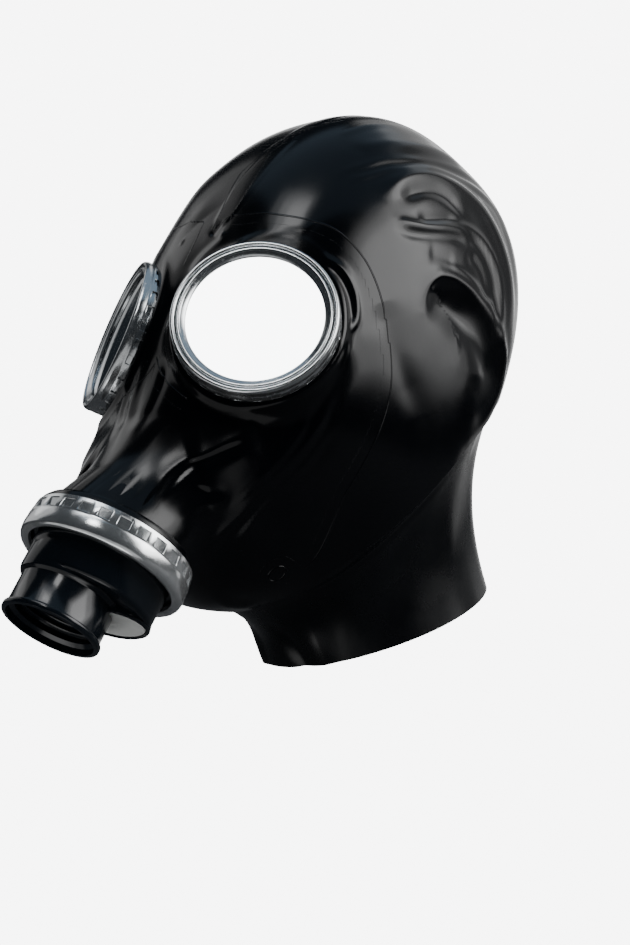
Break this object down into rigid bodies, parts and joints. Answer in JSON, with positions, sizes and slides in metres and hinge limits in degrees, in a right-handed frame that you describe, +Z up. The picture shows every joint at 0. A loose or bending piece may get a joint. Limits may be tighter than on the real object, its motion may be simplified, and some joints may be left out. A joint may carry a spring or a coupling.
{
  "type": "gas mask style costume mask",
  "caption": "Full-head black rubber helmet mask with round steel-rimmed mirror eyepieces, a steel mouth ring, a black valve box with a hose socket, and a thin neck collar.",
  "frame": {"origin": "inside the crown's top, where the wearer's head bears against the rubber", "axes": "+Z up, -Y the way the face looks, +X the wearer's left"},
  "size_m": [0.1763, 0.3008, 0.2882],
  "materials": {
    "moulded_rubber": "soft satin",
    "thin_rubber": "smooth satin",
    "plated_steel": "bright, slightly worn",
    "zinc_steel": "mottled plating",
    "pane": "polished",
    "black_plastic": "glossy",
    "pale_rubber": "matt"
  },
  "bodies": {
    "root": {"helmet": "moulded_rubber", "neck_collar": "thin_rubber", "eye_clamp_left": "plated_steel", "eye_clamp_right": "plated_steel", "eye_retainer_left": "plated_steel", "eye_retainer_right": "plated_steel", "lens_left": "pane", "lens_right": "pane", "mouth_ring": "zinc_steel", "valve_body": "black_plastic", "exhale_disc": "pale_rubber"}
  },
  "joints": []
}
